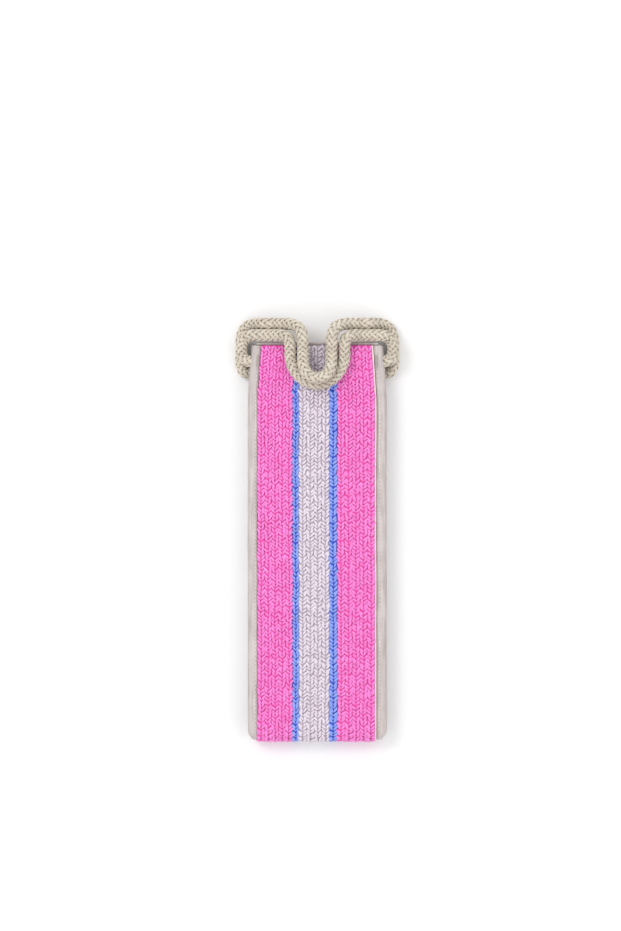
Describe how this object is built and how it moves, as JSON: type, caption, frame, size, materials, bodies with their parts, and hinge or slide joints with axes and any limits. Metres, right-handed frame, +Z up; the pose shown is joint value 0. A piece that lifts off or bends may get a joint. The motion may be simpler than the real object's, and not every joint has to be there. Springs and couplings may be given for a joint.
{
  "type": "loofah back scrubber",
  "caption": "Folded two-sided washing strap with a striped knitted face, a loofah face, bound edges and a rope handle at each end.",
  "frame": {"origin": "middle of the folded strap, on the surface it lies on", "axes": "+Y along the strap from the fold towards its two ends, +Z up out of the upper striped face, +X to the right as seen from above with the ends at the top"},
  "size_m": [0.1274, 0.3277, 0.0391],
  "materials": {
    "striped_knit": "fuzzy chenille knit, striped pink, blue and pale grey",
    "loofah_fibre": "coarse open plant fibre, matte",
    "edge_tape": "fine cotton twill, matte",
    "braided_rope": "soft braided cotton, matte",
    "thread": "spun sewing thread"
  },
  "bodies": {
    "back_half": {"back_striped_face": "striped_knit", "back_loofah_pad": "loofah_fibre", "back_left_edge_tape": "edge_tape", "back_right_edge_tape": "edge_tape", "back_end_hem": "edge_tape", "back_left_rope_tack": "thread", "back_right_rope_tack": "thread", "back_left_rope_tail": "braided_rope", "back_right_rope_tail": "braided_rope"},
    "fold_1": {"fold_1_striped_face": "striped_knit", "fold_1_loofah_pad": "loofah_fibre", "fold_1_left_edge_tape": "edge_tape", "fold_1_right_edge_tape": "edge_tape"},
    "fold_2": {"fold_2_striped_face": "striped_knit", "fold_2_loofah_pad": "loofah_fibre", "fold_2_left_edge_tape": "edge_tape", "fold_2_right_edge_tape": "edge_tape"},
    "fold_3": {"fold_3_striped_face": "striped_knit", "fold_3_loofah_pad": "loofah_fibre", "fold_3_left_edge_tape": "edge_tape", "fold_3_right_edge_tape": "edge_tape"},
    "fold_4": {"fold_4_striped_face": "striped_knit", "fold_4_loofah_pad": "loofah_fibre", "fold_4_left_edge_tape": "edge_tape", "fold_4_right_edge_tape": "edge_tape"},
    "fold_5": {"fold_5_striped_face": "striped_knit", "fold_5_loofah_pad": "loofah_fibre", "fold_5_left_edge_tape": "edge_tape", "fold_5_right_edge_tape": "edge_tape"},
    "front_half": {"front_striped_face": "striped_knit", "front_loofah_pad": "loofah_fibre", "front_left_edge_tape": "edge_tape", "front_right_edge_tape": "edge_tape", "front_end_hem": "edge_tape", "front_left_rope_tack": "thread", "front_right_rope_tack": "thread", "front_left_rope_tail": "braided_rope", "front_right_rope_tail": "braided_rope"},
    "back_handle": {"back_rope_loop": "braided_rope"},
    "front_handle": {"front_rope_loop": "braided_rope"}
  },
  "joints": [
    {"name": "unfold", "type": "hinge", "parent": "back_half", "child": "fold_1", "pos_m": [0, -0.1443, 0], "axis": [1, 0, 0], "range_deg": [0, 17.76], "deforming": ["back_rope_loop", "front_rope_loop"]},
    {"name": "fold_bend_2", "type": "hinge", "parent": "fold_1", "child": "fold_2", "pos_m": [0, -0.15018, 0.00191], "axis": [1, 0, 0], "range_deg": [0, 35.52]},
    {"name": "fold_bend_3", "type": "hinge", "parent": "fold_2", "child": "fold_3", "pos_m": [0, -0.15381, 0.00691], "axis": [1, 0, 0], "range_deg": [0, 35.52]},
    {"name": "fold_bend_4", "type": "hinge", "parent": "fold_3", "child": "fold_4", "pos_m": [0, -0.15381, 0.01309], "axis": [1, 0, 0], "range_deg": [0, 35.52]},
    {"name": "fold_bend_5", "type": "hinge", "parent": "fold_4", "child": "fold_5", "pos_m": [0, -0.15018, 0.01809], "axis": [1, 0, 0], "range_deg": [0, 35.52]},
    {"name": "fold_bend_6", "type": "hinge", "parent": "fold_5", "child": "front_half", "pos_m": [0, -0.1443, 0.02], "axis": [1, 0, 0], "range_deg": [0, 17.76]},
    {"name": "swing_back_handle", "type": "hinge", "parent": "back_half", "child": "back_handle", "pos_m": [0, 0.1685, 0.0162], "axis": [-1, 0, 0], "range_deg": [0, 155]},
    {"name": "swing_front_handle", "type": "hinge", "parent": "front_half", "child": "front_handle", "pos_m": [0, 0.1596, 0.0196], "axis": [-1, 0, 0], "range_deg": [0, 170]}
  ],
  "couplings": [
    {"joint": "fold_bend_2", "follows": "unfold", "ratio": 2},
    {"joint": "fold_bend_3", "follows": "unfold", "ratio": 2},
    {"joint": "fold_bend_4", "follows": "unfold", "ratio": 2},
    {"joint": "fold_bend_5", "follows": "unfold", "ratio": 2},
    {"joint": "fold_bend_6", "follows": "unfold", "ratio": 1}
  ]
}
